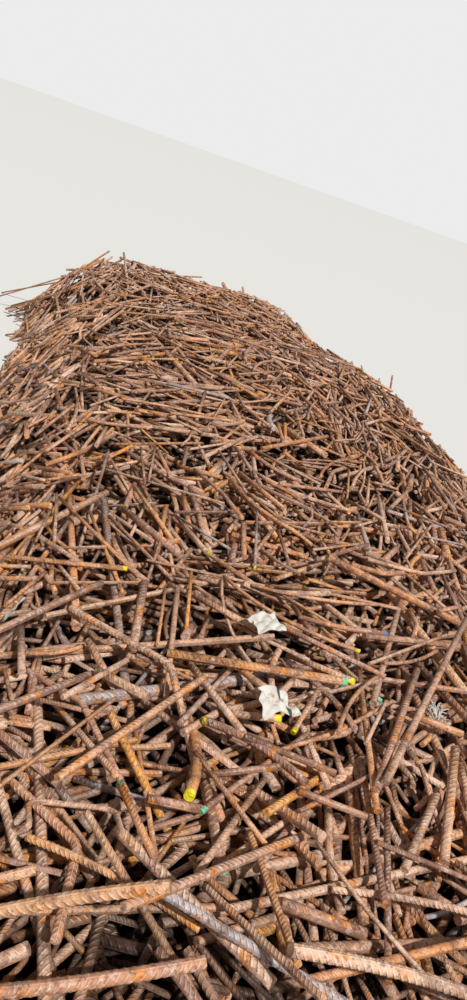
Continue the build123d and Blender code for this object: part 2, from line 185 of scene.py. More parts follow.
# Tones of bars: their spread, the step that takes a few to the grey end, and the chances of none and one
TONE_SPREAD = (1.5, 1.7)
GREY_STEPS = (0, 0.3)
GREY_CHANCES = (0.92, 0.08)
BAR_TONES = (
    (0.0, (140, 100, 82)),
    (0.12, (182, 138, 114)),
    (0.28, (214, 168, 134)),
    (0.44, (228, 190, 162)),
    (0.58, (222, 152, 96)),
    (0.7, (176, 138, 122)),
    (0.84, (232, 160, 74)),
    (1.0, (186, 176, 174)),
)

# Patches of dark, violet, ochre and dusty rust: noise scale, where each starts and is full, strength, colour
RUST_PATCHES = (
    (11.0, 0.55, 0.38, 0.66, (112, 74, 56)),
    (13.0, 0.56, 0.66, 0.60, (138, 104, 98)),
    (17.0, 0.55, 0.64, 0.75, (222, 136, 44)),
    (60.0, 0.50, 0.64, 0.50, (238, 212, 192)),
)
PATCH_DETAIL = (5.0, 0.7)

# Bar ends with marking paint: place over the heap, and the number of the paint
YELLOW, GREEN, BLUE = 1.0, 2.0, 3.0
PAINTED_ENDS = (
    (-0.76, -1.91, YELLOW),
    (-0.46, -1.76, YELLOW),
    (-0.29, -1.81, YELLOW),
    (-0.10, -1.82, YELLOW),
    (0.46, -1.48, YELLOW),
    (-0.05, -2.17, YELLOW),
    (-0.49, -2.46, YELLOW),
    (-0.05, -2.31, YELLOW),
    (-0.27, -2.46, YELLOW),
    (-0.23, -2.43, YELLOW),
    (-0.54, -2.75, YELLOW),
    (-0.79, -1.49, YELLOW),
    (-0.11, -2.32, GREEN),
    (0.01, -2.32, GREEN),
    (-0.67, -2.76, GREEN),
    (-0.47, -2.77, GREEN),
    (-0.41, -2.89, GREEN),
    (0.03, -1.99, BLUE),
)
PAINT_COLOURS = ((244, 226, 40), (130, 214, 172), (80, 150, 220))
PAINT_WORN = 0.03
PAINT_ENDS_AT = (0.030, 0.022)

# A painted end lies within this reach of its place. Depth under the top of the heap beyond the slack
# counts as many times that distance.
PAINT_REACH = 0.16
BURIED_SLACK = 0.02
BURIED_COST = 5

# Bits of torn sack on the bars: name, place, width, length, turn in degrees, and whether one has a stripe
SACK_SCRAPS = (
    ("curled_sack_scrap", -0.31, -2.14, 0.10, 0.095, 20, False),
    ("crumpled_sack_scrap", -0.31, -2.45, 0.125, 0.09, 25, True),
    ("small_sack_scrap", -1.0, -2.23, 0.05, 0.03, 30, False),
)
SACK_POINTS = 34
SACK_THICKNESS = 0.0006
SACK_REACH = 0.024
SACK_SAG = 0.3
SACK_CLEAR_SHARE = 0.95
SACK_TILT = 0.02
SACK_CURL = 0.012
SACK_CURLS_FROM = 0.8
SACK_COLOUR = (218, 212, 200)
STRIPE_MIDDLE = 0.5
STRIPE_HALF_WIDTH = 0.13

# The torn edge of a bit of sack as a share, with its waves round the middle: how many and how deep
TORN_SHARE = 0.86
TORN_WAVES = ((3, 0.09), (7, 0.05))

# Folds of a bit of sack: height, and waves across and along
SACK_FOLDS = ((0.008, 2.2, 1.4), (0.004, -3.3, 4.1))

# A taut sheet over the map lies on this share of the cells near each point, evened out by these rounds
TAUT_SHARE = 0.97
TAUT_ROUNDS = 6

# Frayed tuft: its fibres swing to either side as they leave its middle, and rise between their ends
TUFT_PLACE = (0.21, -2.31)
TUFT_FIBRES = 90
TUFT_REACHES = (0.015, 0.045)
TUFT_RISES = (0.002, 0.02)
TUFT_SWING = 1.5
TUFT_STRETCH = (1.0, 1.5)
TUFT_TAUT_REACH = 0.018
TUFT_LIFT = 0.003
FIBRE_POINTS = 7
FIBRE_RADIUS = 0.0013
FIBRE_SIDES = 5


# Reading of the bars of the frame


def sides_of(node_object):
    """Vertices of a node with doubles merged, and its triangles as rows of vertex numbers."""
    mesh = node_object.data
    points = np.empty(len(mesh.vertices) * 3)
    mesh.vertices.foreach_get("co", points)
    points = points.reshape(-1, 3)
    mesh.calc_loop_triangles()
    faces = np.empty(len(mesh.loop_triangles) * 3, int)
    mesh.loop_triangles.foreach_get("vertices", faces)
    merged, number = np.unique(points.round(6), axis=0, return_inverse=True)
    return merged, number.ravel()[faces].reshape(-1, 3)


def loose_parts(points, faces):
    """Number of the loose part that each vertex belongs to, found by spreading the lowest number."""
    part = np.arange(len(points))
    while True:
        lowest = part[faces].min(axis=1)
        spread = part.copy()
        for corner in range(3):
            np.minimum.at(spread, faces[:, corner], lowest)
        spread = spread[spread]
        if (spread == part).all():
            return np.unique(part, return_inverse=True)[1].ravel()
        part = spread


def straight_bars(node_object):
    """Line and radius of each bar of a node, from the longest axis of its vertices."""
    points, faces = sides_of(node_object)
    part = loose_parts(points, faces)
    found = []
    for number in range(part.max() + 1):
        own = points[part == number]
        middle = own.mean(axis=0)
        along = np.linalg.svd(own - middle)[2][0]
        reach = (own - middle) @ along
        line = np.array((middle + reach.min() * along, middle + reach.max() * along))
        radius = np.linalg.norm(own - middle - np.outer(reach, along), axis=1).max()
        found.append((line, radius))
    return found


def bent_bars(node_object):
    """Line and radius of each bent bar of a node, from the line of corners on top of it."""
    points, faces = sides_of(node_object)
    part = loose_parts(points, faces)
    found = []
    for number in range(part.max() + 1):
        own = np.flatnonzero(part == number)
        middle = points[own].mean(axis=0)
        normal = np.linalg.svd(points[own] - middle)[2][2]
        height = (points - middle) @ normal
        radius = np.ptp(height[own]) / 2
        top = set(own[height[own] > height[own].max() - TOP_LINE_SLACK * radius])
        linked = {corner: set() for corner in top}
        for face in faces[part[faces[:, 0]] == number]:
            on_line = [corner for corner in face if corner in top]
            for corner in on_line:
                linked[corner].update(other for other in on_line if other != corner)
        at = next(corner for corner in sorted(top) if len(linked[corner]) == 1)
        line, seen = [at], {at}
        while linked[at] - seen:
            at = (linked[at] - seen).pop()
            seen.add(at)
            line.append(at)
        found.append((points[line] - radius * normal, radius))
    return found


def bars_of_frame():
    """Node name, line and radius of each bar of the frame."""
    bars = []
    for names, read in ((STRAIGHT_NODES, straight_bars), (BENT_NODES, bent_bars)):
        for name in names:
            bars += [(name, line, radius) for line, radius in read(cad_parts[name])]
    return bars


# Making of meshes


def placed(name, data):
    """A new object of that data, in the scene."""
    made = bpy.data.objects.new(name, data)
    bpy.context.collection.objects.link(made)
    return made


def mesh_object(name, points, quads, caps, attributes, uv):
    """An object from vertices, quads and caps.

    Each vertex has a value of each attribute, and a UV pair that all its corners take.
    """
    mesh = bpy.data.meshes.new(name)
    corners = np.concatenate((quads.ravel(), *(cap.ravel() for cap in caps)))
    sizes = np.concatenate([np.full(len(quads), 4)] + [np.full(len(cap), cap.shape[1]) for cap in caps])
    mesh.vertices.add(len(points))
    mesh.vertices.foreach_set("co", points.ravel())
    mesh.loops.add(len(corners))
    mesh.loops.foreach_set("vertex_index", corners)
    mesh.polygons.add(len(sizes))
    mesh.polygons.foreach_set("loop_start", np.cumsum(sizes) - sizes)
    mesh.polygons.foreach_set("use_smooth", np.arange(len(sizes)) < len(quads))
    for label, values in attributes.items():
        mesh.attributes.new(label, "FLOAT", "POINT").data.foreach_set("value", values)
    mesh.uv_layers.new(name="bar").data.foreach_set("uv", uv[corners].ravel())
    mesh.update(calc_edges=True)
    return placed(name, mesh)


def grid_quads(number):
    """Quads between the neighbours of a grid of vertex numbers."""
    return np.stack((number[:-1, :-1], number[1:, :-1], number[1:, 1:], number[:-1, 1:]), axis=-1)


def closed_skin(name, top, under, quads):
    """A closed object: quads over the top points, the same over the under points, and walls along their rim.

    A rim edge is one that no other quad passes the other way round.
    """
    count = top[..., 0].size
    edges = np.concatenate([quads[:, (corner, (corner + 1) % 4)] for corner in range(4)])
    rim = edges[~np.isin(edges @ (1, count), edges @ (count, 1))]
    walls = np.column_stack((rim[:, 1], rim[:, 0], rim[:, 0] + count, rim[:, 1] + count))
    faces = np.concatenate((quads, quads[:, ::-1] + count, walls))
    points = np.concatenate((top.reshape(-1, 3), under.reshape(-1, 3)))
    used, faces = np.unique(faces, return_inverse=True)
    mesh = bpy.data.meshes.new(name)
    mesh.from_pydata(points[used].tolist(), [], faces.reshape(-1, 4).tolist())
    return placed(name, mesh)


def finish_piece(piece, material, node):
    piece.data.materials.append(material)
    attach(piece, "root")
    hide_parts(node)


class Surface:
    """Gathers the tubes of one piece, and makes them one mesh."""

    def __init__(self):
        self.points, self.quads, self.caps, self.uv = [], [], [], []
        self.values = {"tone": [], "shade": [], "along": [], "paint": []}
        self.count = 0

    def add_tubes(self, rings, along, turns, tone, shade, paint):
        """Adds tubes given as rings (tube, ring, side, xyz), all with as many rings and sides.

        along is the place of each vertex along its tube and turns the number of ribs up to it.
        """
        tubes, count, sides = rings.shape[:3]
        number = np.arange(tubes * count * sides).reshape(tubes, count, sides) + self.count
        beside = np.roll(number, -1, axis=2)
        quads = np.stack((number[:, :-1], beside[:, :-1], beside[:, 1:], number[:, 1:]), axis=-1)
        self.quads.append(quads.reshape(-1, 4))
        self.caps.append(np.concatenate((number[:, 0, ::-1], number[:, -1])))
        self.points.append(rings.reshape(-1, 3))
        around = np.broadcast_to(np.arange(sides) / sides, number.shape)
        self.uv.append(np.stack((turns, around), axis=-1).reshape(-1, 2))
        self.values["along"].append(along.ravel())
        self.values["shade"].append(shade.ravel())
        for label, value in (("tone", tone), ("paint", paint)):
            spread = np.broadcast_to(value[:, None, None], number.shape)
            self.values[label].append(spread.ravel())
        self.count += number.size

    def object(self, name):
        by_sides = {}
        for cap in self.caps:
            by_sides.setdefault(cap.shape[1], []).append(cap)
        caps = [np.concatenate(group) for group in by_sides.values()]
        values = {label: np.concatenate(parts) for label, parts in self.values.items()}
        points, quads, uv = (np.concatenate(parts) for parts in (self.points, self.quads, self.uv))
        return mesh_object(name, points, quads, caps, values, uv)


# Round and ribbed tubes


def unit(vectors):
    return vectors / np.linalg.norm(vectors, axis=-1, keepdims=True)


def frames_along(lines):
    """Two directions across each line at each of its points, turned as little as its bends allow.

    Each line is flat, so one direction is its plane's normal or, on a straight one, level and across.
    """
    runs = unit(np.diff(lines, axis=1))
    ahead = unit(np.concatenate((runs[:, :1], runs[:, :-1] + runs[:, 1:], runs[:, -1:]), axis=1))
    first, last = runs[:, :1], runs[:, -1:]
    normal = np.cross(first, last)
    level = np.cross(first, (0, 0, 1.0))
    bent = np.linalg.norm(normal, axis=-1, keepdims=True) > STRAIGHT_BELOW
    aside = unit(np.where(bent, normal, level)) * np.ones_like(ahead)
    aside = unit(aside - (aside * ahead).sum(axis=-1, keepdims=True) * ahead)
    return aside, np.cross(ahead, aside)


def angles_round(sides):
    return 2 * math.pi * np.arange(sides) / sides


def directions_round(lines, sides):
    """Outward directions round each line at each of its points: cos(angle) * aside + sin(angle) * up."""
    aside, up = frames_along(lines)
    angle = angles_round(sides)
    return np.cos(angle)[:, None] * aside[:, :, None] + np.sin(angle)[:, None] * up[:, :, None]


def lengths_along(lines):
    steps = np.linalg.norm(np.diff(lines, axis=1), axis=2)
    return np.concatenate((np.zeros((len(lines), 1)), np.cumsum(steps, axis=1)), axis=1)


def add_plain(surface, lines, radii, sides, tone, shade_of, paint):
    """Adds round tubes with a ring at each point of their lines, ribbed by their material alone."""
    rings = lines[:, :, None] + radii[:, None, None, None] * directions_round(lines, sides)
    along = np.repeat(lengths_along(lines)[:, :, None], sides, axis=2)
    turns = along / (2 * radii * RIB_PITCH_TO_DIAMETER)[:, None, None]
    surface.add_tubes(rings, along, turns, tone, shade_of(rings), paint)


def add_ribbed(surface, line, radius, sides, tone, shade_of, paint):
    """Adds a bar with ribs in its mesh.

    Rings lie at the start, foot and crest of each rib's pitch, tilted by lean * cos(angle) so that the
    ribs slant on both sides. A ring's radius is root + height * |sin(angle)|**RIB_FADE on the crests.
    """
    pitch = 2 * radius * RIB_PITCH_TO_DIAMETER
    cuts = lengths_along(line[None])[0]
    length = cuts[-1]
    lean = radius * math.tan(RIB_SLANT)
    ribs = max(1, int((length - PLAIN_ENDS_TO_LEAN * lean) / pitch))
    start = (length - ribs * pitch) / 2
    stations = (np.arange(ribs)[:, None] + (0.0, RIB_FOOT, RIB_CREST)).ravel() * pitch + start
    stations = np.concatenate(((0,), stations, (start + ribs * pitch, length)))
    crest = np.concatenate(((0,), np.tile((0.0, 0.0, 1.0), ribs), (0, 0)))
    tilt = np.ones(len(stations))
    tilt[0] = tilt[-1] = 0
    angle = angles_round(sides)
    places = stations[:, None] + tilt[:, None] * lean * np.cos(angle)
    centre = np.stack([np.interp(places, cuts, line[:, axis]) for axis in range(3)], axis=-1)
    middle = np.stack([np.interp(stations, cuts, line[:, axis]) for axis in range(3)], axis=-1)
    across = directions_round(middle[None], sides)[0]
    root = radius * (1 - RIB_HEIGHT_TO_RADIUS)
    fade = np.abs(np.sin(angle)) ** RIB_FADE
    seam = np.where(np.abs(np.cos(angle)) > SEAM_FROM_COSINE, SEAM_HEIGHT, 0.0)
    relief = np.maximum(crest[:, None] * fade, seam)
    rings = (centre + (root + (radius - root) * relief)[..., None] * across)[None]
    turns = (places - start) / pitch
    surface.add_tubes(rings, places[None], turns[None], tone, shade_of(rings), paint)


# Laying of the small offcuts


class Heights:
    """A map of heights over the ground, on square cells, on which offcuts are let down."""

    def __init__(self, low, high):
        self.low = np.array(low[:2])
        self.size = np.ceil((np.array(high[:2]) - self.low) / CELL).astype(int) + 1
        self.top = np.zeros(self.size)

    def cells(self, spots):
        found = ((spots - self.low) / CELL).round().astype(int)
        return tuple(np.clip(found, 0, self.size - 1).T)

    def raise_to(self, spots, heights):
        cells = self.cells(spots)
        self.top[cells] = np.maximum(self.top[cells], heights)

    def add_triangles(self, corners):
        """Raises the map to the triangles that face up: height = z of each one's plane at the cell."""
        for a, b, c in corners:
            normal = np.cross(b - a, c - a)
            if normal[2] <= TINY:
                continue
            low = np.floor((np.minimum(np.minimum(a, b), c)[:2] - self.low) / CELL).astype(int)
            high = np.ceil((np.maximum(np.maximum(a, b), c)[:2] - self.low) / CELL).astype(int) + 1
            low, high = np.maximum(low, 0), np.minimum(high, self.size)
            grid = np.meshgrid(*(np.arange(i, j) for i, j in zip(low, high)), indexing="ij")
            x, y = (cells * CELL + start for cells, start in zip(grid, self.low))
            inside = np.ones(x.shape, bool)
            for p, q in ((a, b), (b, c), (c, a)):
                inside &= (q[0] - p[0]) * (y - p[1]) - (q[1] - p[1]) * (x - p[0]) >= -TINY
            z = a[2] - (normal[0] * (x - a[0]) + normal[1] * (y - a[1])) / normal[2]
            part = self.top[low[0]:high[0], low[1]:high[1]]
            part[inside] = np.maximum(part[inside], z[inside])

    def add_bars(self, lines, radii):
        for line, radius in zip(lines, radii):
            for a, b in zip(line[:-1], line[1:]):
                self.add_run(a, b, radius)

    def add_run(self, a, b, radius):
        """Raises the map under the top of a straight run from a to b, strip by strip across it."""
        flat = np.linalg.norm((b - a)[:2])
        share = np.linspace(0, 1, max(2, int(flat / CELL * RUN_STEPS_PER_CELL)))[:, None]
        centre = a + (b - a) * share
        side = np.array((a[1] - b[1], b[0] - a[0])) / max(flat, TINY)
        for off in np.arange(-radius, radius + CELL / 2, CELL * RUN_STRIP_TO_CELL):
            rise = math.sqrt(max(radius**2 - off**2, 0))
            self.raise_to(centre[:, :2] + off * side, centre[:, 2] + rise)

    def places(self, chosen, start=-math.inf, end=math.inf):
        """Middles of the chosen cells from start to end along Y."""
        spots = np.argwhere(chosen) * CELL + self.low
        return spots[(spots[:, 1] > start) & (spots[:, 1] < end)]

    def local_tops(self):
        """Mean over 3 by 3 blocks of the highest top in each, as a coarser map."""
        count = self.size // TOPS_BLOCK
        inner = self.top[: count[0] * TOPS_BLOCK, : count[1] * TOPS_BLOCK]
        highest = inner.reshape(count[0], TOPS_BLOCK, count[1], TOPS_BLOCK).max(axis=(1, 3))
        padded = np.pad(highest, 1, mode="edge")
        return sum(padded[i : i + count[0], j : j + count[1]] for i in range(3) for j in range(3)) / 9

    def between(self, coarse, spots):
        """Values of the coarser map at spots, mixed from the four blocks round each by its distance."""
        place = (spots - self.low) / (CELL * TOPS_BLOCK) - 0.5
        place = np.clip(place, 0, np.array(coarse.shape) - 1.001)
        first = place.astype(int)
        i, j = first[..., 0], first[..., 1]
        u, v = (place - first)[..., 0], (place - first)[..., 1]
        near = coarse[i, j] * (1 - v) + coarse[i, j + 1] * v
        return near * (1 - u) + (coarse[i + 1, j] * (1 - v) + coarse[i + 1, j + 1] * v) * u

    def rest(self, x, y, heading, length, radius):
        """Ends of a bar that rests on the map with a support on each side of its middle."""
        ahead = np.array((math.cos(heading), math.sin(heading)))
        side = np.array((-ahead[1], ahead[0]))
        stations = np.arange(-length / 2, length / 2 + CELL, CELL)
        spots = np.array((x, y)) + stations[:, None] * ahead
        needed = self.top[self.cells(spots)] + radius
        for off in (-FLANK_TO_RADIUS * radius, FLANK_TO_RADIUS * radius):
            rise = math.sqrt(radius**2 - off**2)
            needed = np.maximum(needed, self.top[self.cells(spots + off * side)] + rise)
        left, right = stations < 0, stations > 0
        s1, h1 = stations[left][:, None], needed[left][:, None]
        s2, h2 = stations[right][None], needed[right][None]
        over = (h1 * s2 - h2 * s1) / (s2 - s1)
        i, j = np.unravel_index(over.argmax(), over.shape)
        slope = (h2[0, j] - h1[i, 0]) / (s2[0, j] - s1[i, 0])
        lift = (needed - slope * stations).max()
        half = length / 2 / math.hypot(1, slope)
        ends = np.array((x, y)) + np.array(((-half,), (half,))) * ahead
        return np.column_stack((ends, lift + slope * np.array((-half, half))))


def fill(ground, limit, places, wanted, laying, dice):
    """Lets offcuts down on the ground map, and keeps those that stay under the limit map.

    Each is tried where the map lies deepest under the limit, out of a few places, and wedges in between
    those under it by a share of its radius. Some lean steeply, and none goes into the floor.
    """
    low = np.array(cad_box[0][:2]) + EDGE_MARGIN
    high = np.array(cad_box[1][:2]) - EDGE_MARGIN
    lines, radii = [], []
    for _ in range(TRIES_PER_OFFCUT * wanted):
        if len(lines) == wanted:
            break
        spots = places[dice.integers(0, len(places), PLACES_TRIED)]
        cells = ground.cells(spots)
        x, y = spots[(limit.top[cells] - ground.top[cells]).argmax()]
        radius = dice.choice(OFFCUT_DIAMETERS, p=OFFCUT_SHARES) / 2
        length = dice.uniform(laying.shortest, laying.longest)
        heading = dice.uniform(0, 2 * math.pi)
        if x > LENGTHWISE_FROM_X and y < LENGTHWISE_TO_Y and dice.uniform() < LENGTHWISE_SHARE:
            heading = dice.normal(*LENGTHWISE_HEADING) + math.pi * dice.integers(2)
        line = ground.rest(x, y, heading, length, radius) - (0, 0, laying.sink * radius)
        if dice.uniform() < laying.steep_share:
            lean = dice.uniform(*STEEP_LEANS) * length / 2
            line[:, 2] += (-lean, lean * STEEP_RISE)
        line[:, 2] += max(0, radius - line[:, 2].min())
        if (line[:, :2] < low).any() or (line[:, :2] > high).any():
            continue
        probes = line[0] + (line[1] - line[0]) * np.linspace(0, 1, PROBES)[:, None]
        room = limit.top[limit.cells(probes[:, :2])] - probes[:, 2] - radius
        if room.min() < 0:
            continue
        ground.add_run(line[0], line[1], radius)
        lines.append(line)
        radii.append(radius)
    return np.array(lines).reshape(-1, 2, 3), np.array(radii)


def core_heights():
    """The plain core of the frame as a map of heights."""
    points, faces = sides_of(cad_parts[CORE_NODE])
    core = Heights(*cad_box)
    core.add_triangles(points[faces])
    return core


def under_shell(core_top):
    """Height of the inner mass: core height - shell depth - a recess towards the foot of the heap."""
    near_foot = np.clip(1 - core_top / RECESS_BELOW, 0, 1)
    return core_top - SHELL_DEPTH - FOOT_RECESS * near_foot


def lay_offcuts(core_top, bars, dice):
    """Lays the small offcuts under, between and over the bars of the frame.

    Gives the map of heights with all of them on it, and by stretch the lines and radii of those laid
    before the bars and of those laid after them.
    """
    ground, limit = Heights(*cad_box), Heights(*cad_box)
    ground.top = np.maximum(under_shell(core_top), 0)
    limit.top = np.where(core_top < CORE_FROM, FOOT_HEIGHT, core_top + FOOT_HEIGHT)
    foot = ground.places((core_top > 0) & (core_top < FOOT_REACH))
    buried = {"foot": fill(ground, limit, foot, FOOT_OFFCUTS, AT_THE_FOOT, dice)}
    for label, start, end, wanted, over, _ in STRETCHES:
        limit.top = core_top + over * (core_top > CLEAR_OF_FOOT)
        places = ground.places(core_top > CORE_FROM, start, end)
        buried[label] = fill(ground, limit, places, wanted, BURIED, dice)
    ground.add_bars([line for _, line, _ in bars], [radius for _, _, radius in bars])
    limit.top = np.where(core_top < CORE_FROM, FOOT_HEIGHT, core_top + TOP_LAYER)
    on_top = {"foot": (np.zeros((0, 2, 3)), np.zeros(0))}
    for label, start, end, _, _, wanted in STRETCHES:
        places = ground.places(core_top > CORE_FROM, start, end)
        on_top[label] = fill(ground, limit, places, wanted, ON_TOP, dice)
    return ground, buried, on_top


# Shader helpers

VECTOR, FLOAT, COLOUR = "NodeSocketVector", "NodeSocketFloat", "NodeSocketColor"


def srgb(red, green, blue):
    """A colour written in the usual 0 to 255 steps, as the linear values that Blender takes."""
    channels = (c / 255 for c in (red, green, blue))
    return (*(c / 12.92 if c < 0.04045 else ((c + 0.055) / 1.055) ** 2.4 for c in channels), 1.0)


class Nodes:
    """Adds nodes to a tree by short calls, each giving back its main output."""

    def __init__(self, tree):
        self.tree = tree

    def feed(self, socket, value):
        """Links a socket to the value if that is the output of a node, and else sets it to the value."""
        if isinstance(value, bpy.types.NodeSocket):
            self.tree.links.new(value, socket)
        else:
            socket.default_value = value

    def feed_all(self, sockets, values):
        for key, value in values.items():
            self.feed(sockets[key], value)

    def add(self, kind, inputs=None, output=0, **settings):
        node = self.tree.nodes.new(kind)
        for key, value in settings.items():
            setattr(node, key, value)
        self.feed_all(node.inputs, inputs or {})
        return node.outputs[output]

    def group(self, tree, inputs):
        """A node of a group, fed with inputs. Gives back all its outputs."""
        node = self.tree.nodes.new("ShaderNodeGroup")
        node.node_tree = tree
        self.feed_all(node.inputs, inputs)
        return node.outputs

    def math(self, operation, a, b=0.0, c=0.0):
        return self.add("ShaderNodeMath", {0: a, 1: b, 2: c}, operation=operation)

    def noise(self, vector, scale, detail=4.0, roughness=0.6):
        inputs = {"Vector": vector, "Scale": scale, "Detail": detail, "Roughness": roughness}
        return self.add("ShaderNodeTexNoise", inputs, output="Fac")

    def blend(self, share, a, b, mode="MIX"):
        return self.add("ShaderNodeMix", {0: share, 6: a, 7: b}, output=2, data_type="RGBA", blend_type=mode)

    def ramp(self, value, stops):
        """A colour ramp through stops given as (place, colour)."""
        node = self.tree.nodes.new("ShaderNodeValToRGB")
        ramp = node.color_ramp
        while len(ramp.elements) < len(stops):
            ramp.elements.new(0.5)
        for element, (place, colour) in zip(ramp.elements, stops):
            element.position, element.color = place, srgb(*colour)
        self.feed(node.inputs[0], value)
        return node.outputs[0]

    def step(self, value, low, high):
        """Smooth step of a value from 0 at low to 1 at high."""
        inputs = {"Value": value, "From Min": low, "From Max": high}
        return self.add("ShaderNodeMapRange", inputs, interpolation_type="SMOOTHSTEP")

    def patch(self, colour, noise, start, full, strength, tint):
        """The colour with a tint on it where the noise goes from start to full."""
        share = self.math("MULTIPLY", self.step(noise, start, full), strength)
        return self.blend(share, colour, srgb(*tint))

    def object_place(self):
        return self.add("ShaderNodeTexCoord", output="Object")

    def attribute(self, name):
        return self.add("ShaderNodeAttribute", output="Fac", attribute_name=name)


def new_material(name):
    """A new material, its nodes helper and the inputs of its shader."""
    material = bpy.data.materials.new(name)
    material.use_nodes = True
    tree = material.node_tree
    return material, Nodes(tree), tree.nodes["Principled BSDF"].inputs


def new_group(name, inputs, outputs):
    """The nodes helper of a new shader group with named sockets, what it is given and what it gives."""
    tree = bpy.data.node_groups.new(name, "ShaderNodeTree")
    for sockets, way in ((inputs, "INPUT"), (outputs, "OUTPUT")):
        for label, kind in sockets.items():
            tree.interface.new_socket(name=label, in_out=way, socket_type=kind)
    given = tree.nodes.new("NodeGroupInput").outputs
    gives = tree.nodes.new("NodeGroupOutput").inputs
    return Nodes(tree), given, gives


# Materials


def rust_and_shade_group():
    """Rust of a bar: colour, roughness and fine height from the bar's tone and the place on it, and painted
    shade in the colour by how deep the bar lies.
    """
    inputs = {"Vector": VECTOR, "Tone": FLOAT, "Shade": FLOAT}
    outputs = {"Colour": COLOUR, "Roughness": FLOAT, "Height": FLOAT}
    nodes, given, gives = new_group("bar_rust_and_shade", inputs, outputs)
    where = given["Vector"]
    colour = nodes.ramp(given["Tone"], BAR_TONES)
    for scale, *patch in RUST_PATCHES:
        colour = nodes.patch(colour, nodes.noise(where, scale, *PATCH_DETAIL), *patch)
    fine = nodes.noise(where, 95.0, 6.0, 0.72)
    grain = nodes.noise(where, 420.0, 5.0, 0.75)
    colour = nodes.patch(colour, fine, 0.50, 0.36, 0.66, (84, 50, 34))
    # Fine grain brightens and darkens the colour in small specks
    light = nodes.math("MULTIPLY_ADD", grain, 1.1, 0.76)
    colour = nodes.blend(1.0, colour, light, "MULTIPLY")
    # Painted shade: the colour goes towards near black by Shade, that is, by how deep the point lies among
    # the bars
    colour = nodes.blend(nodes.math("MULTIPLY", given["Shade"], 0.95), colour, srgb(16, 10, 7))
    roughness = nodes.math("MULTIPLY_ADD", fine, 0.4, 0.32)
    height = nodes.math("ADD", nodes.math("MULTIPLY", fine, 0.7), nodes.math("MULTIPLY", grain, 0.3))
    nodes.feed_all(gives, {"Colour": colour, "Roughness": roughness, "Height": height})
    return nodes.tree


def rib_group():
    """Ribs of a bar as a height: one crest to each whole turn, slanted by cos(2 * pi * around)."""
    nodes, given, gives = new_group("bar_ribs", {"UV": VECTOR}, {"Height": FLOAT})
    split = nodes.tree.nodes.new("ShaderNodeSeparateXYZ")
    nodes.feed(split.inputs[0], given["UV"])
    turns, around = split.outputs[0], split.outputs[1]
    angle = nodes.math("MULTIPLY", around, 2 * math.pi)
    cosine, sine = nodes.math("COSINE", angle), nodes.math("SINE", angle)
    tilt = nodes.math("MULTIPLY", cosine, 0.5 * math.tan(RIB_SLANT) / RIB_PITCH_TO_DIAMETER)
    place = nodes.math("FRACT", nodes.math("SUBTRACT", turns, tilt))
    away = nodes.math("ABSOLUTE", nodes.math("SUBTRACT", place, RIB_CREST))
    fade = nodes.math("POWER", nodes.math("ABSOLUTE", sine), RIB_FADE)
    crest = nodes.math("MULTIPLY", nodes.step(away, *BUMP_CREST_FALL), fade)
    seam = nodes.step(nodes.math("ABSOLUTE", cosine), *BUMP_SEAM_RISE)
    seam = nodes.math("MULTIPLY", seam, BUMP_SEAM_HEIGHT)
    nodes.feed(gives["Height"], nodes.math("MAXIMUM", crest, seam))
    return nodes.tree


def paint_group():
    """Marking paint on one end of a bar: a mask and a colour, from the bar's paint number.

    The number is 0 for none, else that of yellow, green or blue, and the paint's edge is worn by noise.
    """
    inputs = {"Paint": FLOAT, "Along": FLOAT, "Vector": VECTOR}
    nodes, given, gives = new_group("end_paint", inputs, {"Mask": FLOAT, "Colour": COLOUR})
    worn = nodes.math("MULTIPLY", nodes.noise(given["Vector"], 90.0, 3.0), PAINT_WORN)
    near_end = nodes.step(nodes.math("ADD", given["Along"], worn), *PAINT_ENDS_AT)
    any_paint, green, blue = (
        nodes.math("GREATER_THAN", given["Paint"], number - 0.5) for number in (YELLOW, GREEN, BLUE)
    )
    colours = [srgb(*colour) for colour in PAINT_COLOURS]
    colour = nodes.blend(blue, nodes.blend(green, *colours[:2]), colours[2])
    nodes.feed_all(gives, {"Mask": nodes.math("MULTIPLY", near_end, any_paint), "Colour": colour})
    return nodes.tree


def bar_material(name, groups, rib_depth):
    """Rusty steel with ribs of that depth in its bump, painted shade in the rib valleys, rib crests lightened
    partly by wear and partly as painted highlight, and paint on the marked ends.
    """
    rust_and_shade_tree, rib_tree, paint_tree = groups
    material, nodes, shader = new_material(name)
    where = nodes.object_place()
    tone, shade, mark, along = (nodes.attribute(label) for label in ("tone", "shade", "paint", "along"))
    rust = nodes.group(rust_and_shade_tree, {"Vector": where, "Tone": tone, "Shade": shade})
    paint = nodes.group(paint_tree, {"Vector": where, "Paint": mark, "Along": along})
    rib = nodes.group(rib_tree, {"UV": nodes.add("ShaderNodeUVMap", uv_map="bar")})["Height"]
    # Painted shade: the valleys between the ribs are darkened
    valley_shade = nodes.math("MULTIPLY", nodes.math("SUBTRACT", 1.0, rib), 0.25)
    colour = nodes.blend(valley_shade, rust["Colour"], srgb(80, 48, 36))
    # Pale rib crests in noisy patches: partly rust rubbed off the crests, partly a painted highlight standing
    # for glints of light on them
    worn = nodes.step(nodes.noise(where, 5.0, 3.0), 0.50, 0.66)
    crest = nodes.math("MULTIPLY", nodes.math("MULTIPLY", rib, worn), 0.5)
    colour = nodes.blend(crest, colour, srgb(228, 200, 178))
    colour = nodes.blend(paint["Mask"], colour, paint["Colour"])
    inputs = {"Strength": 0.5, "Distance": GRIT_DEPTH, "Height": rust["Height"]}
    grit = nodes.add("ShaderNodeBump", inputs)
    inputs = {"Strength": 1.0, "Distance": rib_depth, "Height": rib, "Normal": grit}
    relief = nodes.add("ShaderNodeBump", inputs)
    nodes.feed_all(shader, {"Base Color": colour, "Roughness": rust["Roughness"], "Normal": relief})
    nodes.feed_all(shader, {"Metallic": 0.0, "Specular IOR Level": 0.4})
    return material


